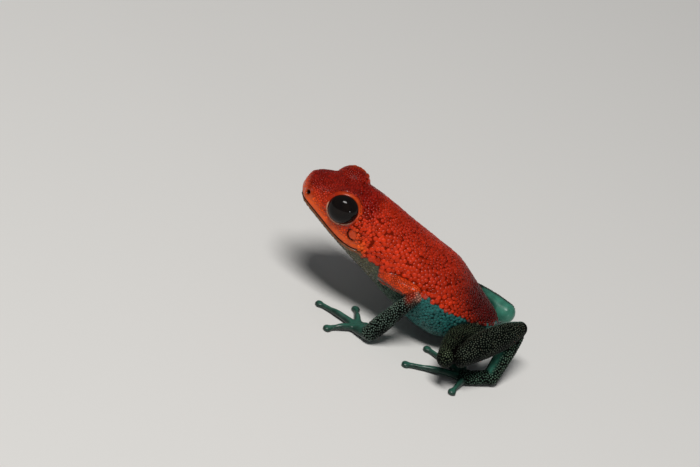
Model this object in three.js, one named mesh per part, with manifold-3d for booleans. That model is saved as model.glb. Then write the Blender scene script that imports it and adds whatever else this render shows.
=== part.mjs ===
// A granular poison frog at life size, sitting with its chest held high.
// Millimetres, +Z up, snout towards -Y, the frog's left side at +X. All feet stand on z = 0.
import * as THREE from "three";
import { ParametricGeometry } from "three/addons/geometries/ParametricGeometry.js";
import { mergeVertices } from "three/addons/utils/BufferGeometryUtils.js";
import Module from "manifold-3d";

// Driving sizes
const GAP = 0.25; // left between two pieces that touch
const EYE_GAP = 0.15; // round the eyeball in its socket
const EYE_RADIUS = 1.34;
const EYE_FLAT = 0.78; // how much flatter the eye is from side to side
const EYE_CENTRE = [2.33, -5.5, 10.32];
const LID_RADIUS = 1.58;
const LID_INSET = 0.62; // how far the lid's centre lies inward of the eye's, and above it
const LID_LIFT = 0.02;
const MOUTH_DEPTH = 0.16;
const MOUTH_HALF_ANGLE = 0.045; // radians either side of the mouth line
const MOUTH_CORNER_Y = -2.8;
const NOSTRIL_CENTRE = [1.5, -8.72, 10.3];
const NOSTRIL_RADIUS = 0.2;
const EARDRUM_CENTRE = [3.02, -3.9, 8.7];
const EARDRUM_RADIUS = 0.58;
const NECK_Y = -1.6;
const NECK_Z = 7.5;
const NECK_LEAN = -0.35; // how far the neck cut tilts, top towards the rump
const FINGER_RADIUS = 0.27;
const DISC_RADIUS = 0.4;
const DISC_HEIGHT = 0.5;
const FLOOR_SINK = 0.05; // how far soles are pressed under z = 0 before they are cut flat

// Body stations from snout to vent. Each gives the height of the back, of the side line
// (which is the mouth line on the head) and of the belly, the half width, and how square
// the upper and lower halves of the section are.
const BODY = [
  { y: -9.35, back: 10.8, side: 9.85, belly: 9.3, half: 1.25, up: 2.5, down: 2.2 },
  { y: -8.6, back: 11.15, side: 9.5, belly: 8.8, half: 1.8, up: 2.8, down: 2.2 },
  { y: -7.3, back: 11.4, side: 8.9, belly: 8.0, half: 2.35, up: 3.0, down: 2.2 },
  { y: -5.7, back: 11.5, side: 8.05, belly: 7.0, half: 2.8, up: 2.8, down: 2.2 },
  { y: -4.1, back: 11.35, side: 7.42, belly: 5.9, half: 3.1, up: 2.4, down: 2.2 },
  { y: -2.1, back: 10.75, side: 6.8, belly: 4.4, half: 3.2, up: 2.1, down: 2.2 },
  { y: 0.6, back: 9.45, side: 5.7, belly: 2.55, half: 3.5, up: 2.0, down: 2.1 },
  { y: 3.2, back: 8.08, side: 4.6, belly: 1.1, half: 3.85, up: 2.1, down: 2.1 },
  { y: 5.4, back: 7.05, side: 3.8, belly: 0.45, half: 3.75, up: 2.1, down: 2.1 },
  { y: 7.4, back: 5.4, side: 3.2, belly: 0.75, half: 2.95, up: 2.1, down: 2.0 },
  { y: 9.15, back: 4.05, side: 3.0, belly: 1.6, half: 1.75, up: 2.0, down: 2.0 },
  { y: 10.2, back: 3.5, side: 2.9, belly: 2.25, half: 0.9, up: 2.0, down: 2.0 },
];
const SNOUT_CAP = 0.55;
const VENT_CAP = 0.9;

// Limb joints of each side. Where a limb is folded its two pieces lie side by side, so the
// forearm starts at its own root beside the elbow, and the shank at the shin beside the knee.
const LEFT = {
  side: 1,
  shoulder: [2.9, -0.35, 5.85],
  elbow: [4.05, 2.35, 5.93],
  forearmRoot: [4.5, 2.6, 5.7],
  wrist: [4.75, 0.1, 0.95],
  palm: [3.75, -1.0, 0.4],
  fingers: [
    [2.75, 0.1],
    [1.15, -1.6],
    [2.1, -4.7],
    [5.05, -3.45],
  ],
  hip: [1.6, 8.2, 2.25],
  knee: [7.9, 6.6, 3.35],
  shin: [7.3, 7.7, 3.5],
  heel: [2.2, 11.95, 4.55],
  ankle: [4.75, 10.95, 0.7],
  instep: [5.6, 8.9, 0.38],
  toes: [
    [3.1, 8.3],
    [2.7, 6.9],
    [3.25, 5.2],
    [6.3, 3.75],
    [7.85, 8.1],
  ],
  heelWidth: 0.75,
};
const RIGHT = {
  side: -1,
  shoulder: [-2.9, -0.35, 5.85],
  elbow: [-4.35, 2.75, 4.75],
  forearmRoot: [-4.7, 2.85, 4.5],
  wrist: [-6.5, -0.6, 0.95],
  palm: [-6.8, -1.9, 0.4],
  fingers: [
    [-5.8, -1.7],
    [-7.1, -3.6],
    [-8.4, -3.7],
    [-8.85, -2.2],
  ],
  hip: [-1.6, 8.2, 2.25],
  knee: [-5.5, 4.4, 1.2],
  shin: [-5.1, 5.3, 1.35],
  heel: [-2.5, 10.7, 2.4],
  ankle: [-6.3, 8.9, 0.7],
  instep: [-6.9, 7.5, 0.38],
  toes: [
    [-6.6, 6.2],
    [-7.3, 5.6],
    [-7.9, 4.0],
    [-8.6, 3.0],
    [-8.5, 6.2],
  ],
  heelWidth: 0.95,
};

const GREEN = 0x2c6b5d;
const RED = 0xc22a12;

const wasm = await Module();
wasm.setup();

// A cubic through a station table, at place s of the key column.
function along(table, key, column, s) {
  const n = table.length;
  let i = 0;
  while (i < n - 2 && s > table[i + 1][key]) i += 1;
  const slope = (a, b) => (table[b][column] - table[a][column]) / (table[b][key] - table[a][key]);
  const tangent = (k) => slope(Math.max(k - 1, 0), Math.min(k + 1, n - 1));
  const span = table[i + 1][key] - table[i][key];
  const t = Math.min(Math.max((s - table[i][key]) / span, 0), 1);
  const t2 = t * t;
  const t3 = t2 * t;
  return (
    table[i][column] * (2 * t3 - 3 * t2 + 1) +
    tangent(i) * span * (t3 - 2 * t2 + t) +
    table[i + 1][column] * (3 * t2 - 2 * t3) +
    tangent(i + 1) * span * (t3 - t2)
  );
}

// Places along a loft: close together in its round ends, even between them.
function places(start, end, startCap, endCap, capSteps, steps) {
  const list = [];
  for (let k = 0; k < capSteps; k += 1) {
    list.push(start + startCap * (1 - Math.cos((k / capSteps) * (Math.PI / 2))));
  }
  for (let k = 0; k <= steps; k += 1) {
    list.push(start + startCap + ((end - endCap - start - startCap) * k) / steps);
  }
  for (let k = capSteps - 1; k >= 0; k -= 1) {
    list.push(end - endCap * (1 - Math.cos((k / capSteps) * (Math.PI / 2))));
  }
  return list;
}

// How full a section is at s, so that both ends of a loft close in a round cap.
function fullness(s, start, end, startCap, endCap) {
  const near = Math.min((s - start) / startCap, (end - s) / endCap, 1);
  return Math.sqrt(Math.max(0, 1 - (1 - near) ** 2));
}

// A closed solid from a function of (column, row): column goes round, row goes along.
function solidFrom(pointAt, columns, rows) {
  const geometry = new ParametricGeometry(
    (u, v, target) => target.copy(pointAt(Math.round(u * columns) % columns, Math.round(v * rows))),
    columns,
    rows,
  );
  return solidOf(geometry);
}

function solidOf(geometry) {
  const bare = geometry.clone();
  bare.deleteAttribute("normal");
  bare.deleteAttribute("uv");
  const merged = mergeVertices(bare, 1e-4);
  const index = merged.index.array;
  const kept = [];
  for (let i = 0; i < index.length; i += 3) {
    const [a, b, c] = [index[i], index[i + 1], index[i + 2]];
    if (a !== b && b !== c && a !== c) kept.push(a, b, c);
  }
  const make = (triangles) =>
    new wasm.Manifold(
      new wasm.Mesh({
        numProp: 3,
        vertProperties: Float32Array.from(merged.attributes.position.array),
        triVerts: Uint32Array.from(triangles),
      }),
    );
  const solid = make(kept);
  if (solid.volume() > 0) return solid;
  const turned = [];
  for (let i = 0; i < kept.length; i += 3) turned.push(kept[i], kept[i + 2], kept[i + 1]);
  return make(turned);
}

// The largest closed surface of a solid, as a solid.
function largest(solid) {
  const bodies = solid.decompose();
  return bodies.reduce((best, body) => (body.volume() > best.volume() ? body : best));
}

function ball(radius, centre, scale = [1, 1, 1], columns = 24, rows = 16) {
  const geometry = new THREE.SphereGeometry(radius, columns, rows);
  geometry.scale(...scale).translate(...centre);
  return solidOf(geometry);
}

// Angles round a body section, with a close pair beside each side line for the mouth.
function bodyAngles(half) {
  const list = [];
  for (const base of [0, Math.PI]) {
    list.push(base - MOUTH_HALF_ANGLE, base, base + MOUTH_HALF_ANGLE);
    const first = base + MOUTH_HALF_ANGLE;
    const last = base + Math.PI - MOUTH_HALF_ANGLE;
    for (let k = 1; k < half; k += 1) list.push(first + ((last - first) * k) / half);
  }
  return list;
}

function squared(value, power) {
  return Math.sign(value) * Math.abs(value) ** (2 / power);
}

// Head and trunk in one, grown outward by the given amount.
function bodySolid(grow = 0) {
  const start = BODY[0].y - grow;
  const end = BODY[BODY.length - 1].y + grow;
  const ys = places(start, end, SNOUT_CAP, VENT_CAP, 4, 24);
  const angles = bodyAngles(12);
  const pointAt = (column, row) => {
    const y = ys[row];
    const at = (name) => along(BODY, "y", name, Math.min(Math.max(y, BODY[0].y), end));
    const full = fullness(y, start, end, SNOUT_CAP, VENT_CAP);
    const angle = angles[column];
    const upper = Math.sin(angle) >= 0;
    const power = upper ? at("up") : at("down");
    const height = (upper ? at("back") - at("side") : at("side") - at("belly")) + grow;
    const isMouth = Math.abs(Math.sin(angle)) < 1e-6;
    const open = THREE.MathUtils.smoothstep(MOUTH_CORNER_Y - y, 0, 0.6);
    const groove = isMouth && grow === 0 ? MOUTH_DEPTH * open : 0;
    const x = (at("half") + grow) * squared(Math.cos(angle), power) * full;
    return new THREE.Vector3(
      x - Math.sign(x) * Math.min(groove, Math.abs(x)),
      y,
      at("side") + height * squared(Math.sin(angle), power) * full,
    );
  };
  return solidFrom(pointAt, angles.length, ys.length - 1);
}

// A limb through stations { at, wide, deep }, turned so that "wide" lies across the given
// direction as far as the limb allows.
function limbSolid(stations, across, grow = 0, sides = 12, steps = 12, capSteps = 3) {
  const table = [];
  let s = 0;
  stations.forEach((station, k) => {
    if (k > 0) s += new THREE.Vector3(...station.at).distanceTo(new THREE.Vector3(...stations[k - 1].at));
    const [x, y, z] = station.at;
    table.push({ s, x, y, z, wide: station.wide, deep: station.deep });
  });
  const startCap = table[0].wide + grow;
  const endCap = table[table.length - 1].wide + grow;
  const start = -startCap;
  const end = s + endCap;
  const centre = (place) => {
    const inside = Math.min(Math.max(place, 0), s);
    const point = new THREE.Vector3(
      along(table, "s", "x", inside),
      along(table, "s", "y", inside),
      along(table, "s", "z", inside),
    );
    return point.addScaledVector(heading(inside), place - inside);
  };
  const heading = (place) => {
    const step = 0.02;
    const a = Math.max(place - step, 0);
    const b = Math.min(place + step, s);
    const pick = (q) =>
      new THREE.Vector3(along(table, "s", "x", q), along(table, "s", "y", q), along(table, "s", "z", q));
    return pick(b).sub(pick(a)).normalize();
  };
  const list = places(start, end, startCap, endCap, capSteps, steps);
  const hint = new THREE.Vector3(...across);
  const pointAt = (column, row) => {
    const place = list[row];
    const inside = Math.min(Math.max(place, 0), s);
    const forward = heading(inside);
    const side = hint.clone().addScaledVector(forward, -hint.dot(forward)).normalize();
    const up = new THREE.Vector3().crossVectors(forward, side);
    const full = fullness(place, start, end, startCap, endCap);
    const angle = (column / sides) * 2 * Math.PI;
    return centre(place)
      .addScaledVector(side, (along(table, "s", "wide", inside) + grow) * full * Math.cos(angle))
      .addScaledVector(up, (along(table, "s", "deep", inside) + grow) * full * Math.sin(angle));
  };
  return solidFrom(pointAt, sides, list.length - 1);
}

// A point between two joints, pushed off the straight line.
function between(a, b, share, push = [0, 0, 0]) {
  return a.map((value, k) => value + (b[k] - value) * share + push[k]);
}

function upperArm(limb, grow) {
  const { shoulder, elbow } = limb;
  return limbSolid(
    [
      { at: shoulder, wide: 0.75, deep: 0.8 },
      { at: between(shoulder, elbow, 0.5, [0.15 * limb.side, 0, 0]), wide: 0.7, deep: 0.72 },
      { at: elbow, wide: 0.62, deep: 0.64 },
    ],
    [1, 0, 0],
    grow,
    14,
    8,
  );
}

function forearm(limb, grow) {
  const { forearmRoot, wrist } = limb;
  return limbSolid(
    [
      { at: forearmRoot, wide: 0.58, deep: 0.6 },
      { at: between(forearmRoot, wrist, 0.35, [0, 0, 0.08]), wide: 0.68, deep: 0.7 },
      { at: between(forearmRoot, wrist, 0.75, [0, 0, 0.04]), wide: 0.8, deep: 0.82 },
      { at: wrist, wide: 0.73, deep: 0.75 },
    ],
    [1, 0, 0],
    grow,
    14,
    10,
  );
}

// A finger or toe from its root to its disc, which lies flat on the floor.
function digit(root, tip, grow = 0) {
  const height = FINGER_RADIUS - FLOOR_SINK;
  const end = [tip[0], tip[1], height];
  const knuckle = between(root, end, 0.5, [0, 0, 0.14]);
  const shaft = limbSolid(
    [
      { at: root, wide: FINGER_RADIUS * 1.7, deep: FINGER_RADIUS * 1.3 },
      { at: knuckle, wide: FINGER_RADIUS, deep: FINGER_RADIUS },
      { at: between(root, end, 0.85), wide: FINGER_RADIUS * 0.9, deep: FINGER_RADIUS * 0.9 },
      { at: end, wide: FINGER_RADIUS, deep: FINGER_RADIUS * 0.9 },
    ],
    [end[1] - root[1], root[0] - end[0], 0],
    grow,
    7,
    4,
    2,
  );
  const flat = DISC_HEIGHT / (2 * DISC_RADIUS);
  const disc = ball(DISC_RADIUS + grow, [0, 0, 0], [1, 1, flat], 9, 6).translate([
    tip[0],
    tip[1],
    DISC_HEIGHT / 2 - FLOOR_SINK,
  ]);
  return shaft.add(disc);
}

function hand(limb, grow = 0) {
  const { wrist, palm } = limb;
  let solid = limbSolid(
    [
      { at: [wrist[0], wrist[1], 0.75], wide: 0.66, deep: 0.6 },
      { at: palm, wide: 0.88, deep: 0.48 },
    ],
    [wrist[1] - palm[1], palm[0] - wrist[0], 0],
    grow,
    12,
    5,
  );
  for (const tip of limb.fingers) {
    const root = between(palm, [tip[0], tip[1], 0.3], 0.12);
    solid = solid.add(digit(root, tip, grow));
  }
  return solid;
}

function thigh(limb, grow) {
  const { hip, knee } = limb;
  return limbSolid(
    [
      { at: hip, wide: 1.35, deep: 1.25 },
      { at: between(hip, knee, 0.5), wide: 1.42, deep: 1.38 },
      { at: knee, wide: 0.84, deep: 0.86 },
    ],
    [0, 1, 0],
    grow,
    16,
    10,
  );
}

function shank(limb, grow) {
  const { shin, heel, heelWidth } = limb;
  return limbSolid(
    [
      { at: shin, wide: 0.94, deep: 0.98 },
      { at: between(shin, heel, 0.38, [0, 0, 0.1]), wide: 1.18, deep: 1.28 },
      { at: between(shin, heel, 0.75, [0, 0, 0.08]), wide: 1.1, deep: 1.18 },
      { at: heel, wide: heelWidth, deep: heelWidth + 0.05 },
    ],
    [0, 1, 0],
    grow,
    16,
    12,
  );
}

function tarsus(limb, grow) {
  const { heel, ankle } = limb;
  return limbSolid(
    [
      { at: heel, wide: 0.68, deep: 0.72 },
      { at: between(heel, ankle, 0.45), wide: 0.78, deep: 0.82 },
      { at: ankle, wide: 0.74, deep: 0.74 },
    ],
    [1, 0, 0],
    grow,
    12,
    8,
  );
}

function foot(limb, grow = 0) {
  const { ankle, instep } = limb;
  let solid = limbSolid(
    [
      { at: ankle, wide: 0.7, deep: 0.62 },
      { at: instep, wide: 0.85, deep: 0.45 },
    ],
    [ankle[1] - instep[1], instep[0] - ankle[0], 0],
    grow,
    12,
    5,
  );
  for (const tip of limb.toes) {
    const root = between(instep, [tip[0], tip[1], 0.3], 0.1);
    solid = solid.add(digit(root, tip, grow));
  }
  return solid;
}

function eyeAt(side, inset = 0, lift = 0) {
  return [side * (EYE_CENTRE[0] - inset), EYE_CENTRE[1], EYE_CENTRE[2] + lift];
}

function eyeball(side, grow = 0) {
  const radius = EYE_RADIUS + grow;
  return ball(radius, eyeAt(side), [(EYE_RADIUS * EYE_FLAT + grow) / radius, 1, 1], 22, 14);
}

// All that lies behind the neck cut (1) or in front of it (-1), and the gap itself.
function beyondNeck(way) {
  const reach = 40;
  const geometry = new THREE.BoxGeometry(reach, reach, reach);
  geometry.translate(0, way * (reach / 2 - GAP / 2), 0);
  geometry.rotateX(NECK_LEAN).translate(0, NECK_Y, NECK_Z);
  return solidOf(geometry);
}

// Head with lids, nostrils, eardrums and mouth line, cut off at the neck.
function headAndTorso() {
  let solid = bodySolid();
  for (const side of [1, -1]) {
    solid = solid.add(ball(LID_RADIUS, eyeAt(side, LID_INSET, LID_LIFT), [1, 1, 1], 20, 14));
    solid = solid.add(
      ball(EARDRUM_RADIUS, [side * EARDRUM_CENTRE[0], EARDRUM_CENTRE[1], EARDRUM_CENTRE[2]], [0.45, 1, 1], 14, 8),
    );
  }
  for (const side of [1, -1]) {
    solid = solid.subtract(eyeball(side, EYE_GAP));
    solid = solid.subtract(
      ball(NOSTRIL_RADIUS, [side * NOSTRIL_CENTRE[0], NOSTRIL_CENTRE[1], NOSTRIL_CENTRE[2]], [1.6, 1, 1], 10, 8),
    );
  }
  const head = largest(solid.subtract(beyondNeck(1)));
  const torso = largest(solid.subtract(beyondNeck(-1)));
  return { head, torso };
}

const underFloor = solidOf(new THREE.BoxGeometry(60, 60, 10).translate(0, 0, -5));

function meshFrom(name, solid, colour, roughness) {
  const { vertProperties, triVerts } = largest(solid).getMesh();
  const geometry = new THREE.BufferGeometry();
  geometry.setAttribute("position", new THREE.BufferAttribute(Float32Array.from(vertProperties), 3));
  geometry.setIndex(new THREE.BufferAttribute(Uint32Array.from(triVerts), 1));
  geometry.computeVertexNormals();
  const material = new THREE.MeshStandardMaterial({ color: colour, roughness, metalness: 0 });
  const mesh = new THREE.Mesh(geometry, material);
  mesh.name = name;
  return mesh;
}

const frog = new THREE.Group();
const { head, torso } = headAndTorso();
frog.add(meshFrom("head", head, RED, 0.4));

let trunk = torso;
for (const limb of [LEFT, RIGHT]) {
  for (const grown of [upperArm, forearm, thigh, shank, tarsus]) trunk = trunk.subtract(grown(limb, GAP));
}
frog.add(meshFrom("torso", trunk, RED, 0.4));

for (const limb of [LEFT, RIGHT]) {
  const label = limb.side > 0 ? "left" : "right";
  const arm = upperArm(limb, 0);
  const leg = thigh(limb, 0);
  const pieces = [
    ["eye", eyeball(limb.side), 0x050505, 0.05],
    ["upper_arm", arm, RED, 0.4],
    ["forearm", forearm(limb, 0).subtract(upperArm(limb, GAP)), GREEN, 0.4],
    ["hand", hand(limb).subtract(forearm(limb, GAP)), GREEN, 0.4],
    ["thigh", leg, GREEN, 0.4],
    ["shank", shank(limb, 0).subtract(thigh(limb, GAP)), GREEN, 0.4],
    ["tarsus", tarsus(limb, 0).subtract(shank(limb, GAP)), GREEN, 0.4],
    ["foot", foot(limb).subtract(tarsus(limb, GAP)), GREEN, 0.4],
  ];
  for (const [part, solid, colour, roughness] of pieces) {
    frog.add(meshFrom(`${label}_${part}`, solid.subtract(underFloor), colour, roughness));
  }
}

const bounds = new THREE.Box3().setFromObject(frog, true);
const middle = bounds.getCenter(new THREE.Vector3());
frog.position.set(-middle.x, -middle.y, 0);

export default frog;
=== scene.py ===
import math

import bmesh
import bpy
import numpy as np
from mathutils import Matrix, Vector


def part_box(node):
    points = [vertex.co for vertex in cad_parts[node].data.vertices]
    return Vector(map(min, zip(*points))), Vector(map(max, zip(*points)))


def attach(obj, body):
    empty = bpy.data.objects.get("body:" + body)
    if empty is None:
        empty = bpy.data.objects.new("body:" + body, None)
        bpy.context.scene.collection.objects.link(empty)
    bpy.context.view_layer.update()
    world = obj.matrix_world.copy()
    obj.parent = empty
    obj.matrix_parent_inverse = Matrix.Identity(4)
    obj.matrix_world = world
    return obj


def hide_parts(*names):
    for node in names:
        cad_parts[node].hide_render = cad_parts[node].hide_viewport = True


# A granular poison frog at life size. Shapes are worked out in millimetres, with the snout
# towards -Y and the left side at +X, and each finished piece is turned into metres.
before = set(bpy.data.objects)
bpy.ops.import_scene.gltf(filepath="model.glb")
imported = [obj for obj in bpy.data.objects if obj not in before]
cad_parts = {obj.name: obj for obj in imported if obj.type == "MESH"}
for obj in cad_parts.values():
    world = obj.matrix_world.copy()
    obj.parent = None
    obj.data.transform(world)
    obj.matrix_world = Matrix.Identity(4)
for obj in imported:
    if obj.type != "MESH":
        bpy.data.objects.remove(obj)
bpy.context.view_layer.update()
print("frame loaded")

mm = 0.001
farAway = 1e9

eyes = {
    "radius": 1.33,
    "flat": 0.78,  # how much flatter they are from side to side
    "centre": (2.33, -5.5, 10.32),
    "lidRadius": 1.53,
    "lidInset": 0.62,
    "lidLift": 0.02,
}

# The solids were centred on the floor after they were made, so an eye tells the shift.
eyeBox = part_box("left_eye")
shift = (np.array(eyeBox[0]) + np.array(eyeBox[1])) / 2 / mm - np.array(eyes["centre"])

skinShape = {
    "inset": 0.05,  # room left for the granules inside the solids
    "voxel": 0.115,
    "evening": 8,  # rounds that take the steps of the voxels away
    "eveningPull": 0.6,
    "eveningPush": 0.63,  # a little more than the pull, so that the limbs don't shrink
    "filleting": 14,  # rounds that round the inner corners where limbs meet
    "filletPull": 0.35,
    "filletReach": {"shoulder": 1.0, "wrist": 0.8, "hip": 1.6},
    "halfFilletReach": {"elbow": 0.6, "heel": 0.8, "ankle": 0.8, "palm": 0.9, "instep": 0.9},
    "lidFilletReach": 0.4,
    "lidFilletTop": 0.9,  # over the middle of the eye, from where the lid keeps its edge
    "shoulderFilleting": 30,
    "shoulderPull": 0.4,
    "armpit": (-0.1, 0.1, 0.2),  # from the shoulder
    "armpitReach": 1.1,
    "creaseDepth": 0.07,
    "creaseWidth": 0.11,
    "creaseReach": 0.5,
    "armCreaseStarts": (0.1, 1.0),  # along the arm from the shoulder
    "thighCreaseStarts": (0.5, 1.5),
    "legFoldDepth": 0.26,  # between the thigh and the shank folded against it
    "legFoldWidth": 0.24,
    "foldShadeWidth": 0.5,
    "foldShade": 0.65,
    "groundHeight": 0.012,
}

# Heights of the back, the side line and the belly, the half width, and how square the
# upper and lower halves of the section are, from snout to vent.
bodyStations = {
    "y": (-9.35, -8.6, -7.3, -5.7, -4.1, -2.1, 0.6, 3.2, 5.4, 7.4, 9.15, 10.2),
    "back": (10.8, 11.15, 11.4, 11.5, 11.35, 10.75, 9.45, 8.08, 7.05, 5.4, 4.05, 3.5),
    "side": (9.85, 9.5, 8.9, 8.05, 7.42, 6.8, 5.7, 4.6, 3.8, 3.2, 3.0, 2.9),
    "belly": (9.3, 8.8, 8.0, 7.0, 5.9, 4.4, 2.55, 1.1, 0.45, 0.75, 1.6, 2.25),
    "half": (1.25, 1.8, 2.35, 2.8, 3.1, 3.2, 3.5, 3.85, 3.75, 2.95, 1.75, 0.9),
    "up": (2.5, 2.8, 3.0, 2.8, 2.4, 2.1, 2.0, 2.1, 2.1, 2.1, 2.0, 2.0),
    "down": (2.2, 2.2, 2.2, 2.2, 2.2, 2.2, 2.1, 2.1, 2.1, 2.0, 2.0, 2.0),
}
bodyEnds = {"snoutCap": 0.55, "ventCap": 0.9}
snoutEnd, ventEnd = bodyStations["y"][0], bodyStations["y"][-1]

# Places of the joints, and of the tips of the fingers and toes on the floor.
limbs = {
    "left": {
        "side": 1,
        "shoulder": (2.9, -0.35, 5.85),
        "elbow": (4.05, 2.35, 5.93),
        "forearmRoot": (4.5, 2.6, 5.7),
        "wrist": (4.75, 0.1, 0.95),
        "palm": (3.75, -1.0, 0.4),
        "fingers": [(2.75, 0.1), (1.15, -1.6), (2.1, -4.7), (5.05, -3.45)],
        "hip": (1.6, 8.2, 2.25),
        "knee": (7.9, 6.6, 3.35),
        "shin": (7.3, 7.7, 3.5),
        "heel": (2.2, 11.95, 4.55),
        "ankle": (4.75, 10.95, 0.7),
        "instep": (5.6, 8.9, 0.38),
        "toes": [(3.1, 8.3), (2.7, 6.9), (3.25, 5.2), (6.3, 3.75), (7.85, 8.1)],
        "heelWidth": 0.75,
    },
    "right": {
        "side": -1,
        "shoulder": (-2.9, -0.35, 5.85),
        "elbow": (-4.35, 2.75, 4.75),
        "forearmRoot": (-4.7, 2.85, 4.5),
        "wrist": (-6.5, -0.6, 0.95),
        "palm": (-6.8, -1.9, 0.4),
        "fingers": [(-5.8, -1.7), (-7.1, -3.6), (-8.4, -3.7), (-8.85, -2.2)],
        "hip": (-1.6, 8.2, 2.25),
        "knee": (-5.5, 4.4, 1.2),
        "shin": (-5.1, 5.3, 1.35),
        "heel": (-2.5, 10.7, 2.4),
        "ankle": (-6.3, 8.9, 0.7),
        "instep": (-6.9, 7.5, 0.38),
        "toes": [(-6.6, 6.2), (-7.3, 5.6), (-7.9, 4.0), (-8.6, 3.0), (-8.5, 6.2)],
        "heelWidth": 0.95,
    },
}
digits = {"radius": 0.27, "discRadius": 0.4, "discHeight": 0.5, "floorSink": 0.05, "knuckleLift": 0.14}


def along(table, key, column, place):
    # the same smooth curve through a column of a table as the solids follow
    keys, values = (np.array(table[name], float) for name in (key, column))
    last = len(keys) - 1
    place = np.clip(np.asarray(place, float), keys[0], keys[-1])
    i = np.clip(np.searchsorted(keys, place, side="right") - 1, 0, last - 1)
    before = np.maximum(np.arange(last + 1) - 1, 0)
    after = np.minimum(np.arange(last + 1) + 1, last)
    slope = (values[after] - values[before]) / (keys[after] - keys[before])
    span = keys[i + 1] - keys[i]
    t = (place - keys[i]) / span
    return (
        values[i] * (2 * t**3 - 3 * t**2 + 1)
        + slope[i] * span * (t**3 - 2 * t**2 + t)
        + values[i + 1] * (3 * t**2 - 2 * t**3)
        + slope[i + 1] * span * (t**3 - t**2)
    )


def places(start, end, startCap, endCap, capSteps, steps):
    # close together in the round ends, even between them
    bend = 1 - np.cos(np.arange(capSteps) / capSteps * math.pi / 2)
    middle = np.linspace(start + startCap, end - endCap, steps + 1)
    return np.concatenate([start + startCap * bend, middle, (end - endCap * bend)[::-1]])


def fullness(place, start, end, startCap, endCap):
    near = np.minimum(np.minimum((place - start) / startCap, (end - place) / endCap), 1)
    return np.sqrt(np.maximum(0, 1 - (1 - near) ** 2))


def turnAngles(count):
    return np.arange(count) / count * 2 * math.pi


def closedTube(rings):
    # rings is rows x columns x 3, and its first and last rows are single points
    rows, columns = rings.shape[:2]
    points = np.concatenate([rings[0][:1], rings[1:-1].reshape(-1, 3), rings[-1][:1]])
    faces = []
    last = len(points) - 1
    for c in range(columns):
        d = (c + 1) % columns
        faces.append((0, 1 + d, 1 + c))
        for r in range(rows - 3):
            a = 1 + r * columns
            faces.append((a + c, a + d, a + columns + d, a + columns + c))
        a = 1 + (rows - 3) * columns
        faces.append((a + c, a + d, last))
    return points, faces


def ballShape(radius, centre, scale=(1, 1, 1), columns=32, rows=20):
    polar = np.linspace(0, math.pi, rows + 1)[:, None]
    turn = turnAngles(columns)[None]
    ring = [np.sin(polar) * np.cos(turn), np.sin(polar) * np.sin(turn), np.cos(polar) * np.ones_like(turn)]
    return closedTube(np.stack(ring, -1) * radius * np.array(scale) + np.array(centre))


def bodySection(y):
    return {name: along(bodyStations, "y", name, y) for name in bodyStations if name != "y"}


def bodyTube(inset, sides=80, steps=90, capSteps=8):
    start, end = snoutEnd + inset, ventEnd - inset
    caps = (bodyEnds["snoutCap"], bodyEnds["ventCap"])
    ys = places(start, end, *caps, capSteps, steps)
    angles = turnAngles(sides)
    full = fullness(ys, start, end, *caps)[:, None]
    s = {name: value[:, None] for name, value in bodySection(ys).items()}
    power = np.where(np.sin(angles) >= 0, s["up"], s["down"])
    height = np.where(np.sin(angles) >= 0, s["back"] - s["side"], s["side"] - s["belly"]) - inset
    cosine = np.sign(np.cos(angles)) * np.abs(np.cos(angles)) ** (2 / power)
    sine = np.sign(np.sin(angles)) * np.abs(np.sin(angles)) ** (2 / power)
    x = (s["half"] - inset) * cosine * full
    z = s["side"] + height * sine * full
    return closedTube(np.stack([x, np.broadcast_to(ys[:, None], x.shape), z], -1))


def limbTable(stations):
    spots, wide, deep = zip(*stations)
    run = np.cumsum([0.0] + [math.dist(b, a) for a, b in zip(spots, spots[1:])])
    x, y, z = zip(*spots)
    return {"s": run, "x": x, "y": y, "z": z, "wide": wide, "deep": deep}


def limbTube(stations, across, inset, sides=24, steps=26, capSteps=6):
    table = limbTable(stations)
    length = table["s"][-1]
    startCap, endCap = table["wide"][0] - inset, table["wide"][-1] - inset
    start, end = -startCap, length + endCap
    place = places(start, end, startCap, endCap, capSteps, steps)
    inside = np.clip(place, 0, length)
    spot = lambda q: np.stack([along(table, "s", axis, q) for axis in "xyz"], -1)
    probe = 0.02
    heading = spot(np.minimum(inside + probe, length)) - spot(np.maximum(inside - probe, 0))
    heading /= np.linalg.norm(heading, axis=1)[:, None]
    centre = spot(inside) + heading * (place - inside)[:, None]
    hint = np.array(across, float)
    side = hint - heading * (heading @ hint)[:, None]
    side /= np.linalg.norm(side, axis=1)[:, None]
    up = np.cross(heading, side)
    full = fullness(place, start, end, startCap, endCap)
    wide, deep = ((along(table, "s", name, inside) - inset) * full for name in ("wide", "deep"))
    angles = turnAngles(sides)
    rings = (
        centre[:, None]
        + side[:, None] * (wide[:, None] * np.cos(angles))[..., None]
        + up[:, None] * (deep[:, None] * np.sin(angles))[..., None]
    )
    return closedTube(rings)


def between(a, b, share, push=(0, 0, 0)):
    return tuple(a[k] + (b[k] - a[k]) * share + push[k] for k in range(3))


def levelAcross(start, end):
    return (start[1] - end[1], end[0] - start[0], 0)


def digitStations(root, tip):
    r, lift = digits["radius"], digits["knuckleLift"]
    end = (tip[0], tip[1], r - digits["floorSink"])
    return [
        (root, r * 1.7, r * 1.3),
        (between(root, end, 0.25, (0, 0, lift * 0.7)), r * 1.25, r * 1.1),
        (between(root, end, 0.5, (0, 0, lift)), r * 1.08, r * 1.08),
        (between(root, end, 0.7, (0, 0, lift * 0.5)), r * 0.88, r * 0.88),
        (end, r, r * 0.9),
    ]


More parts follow.
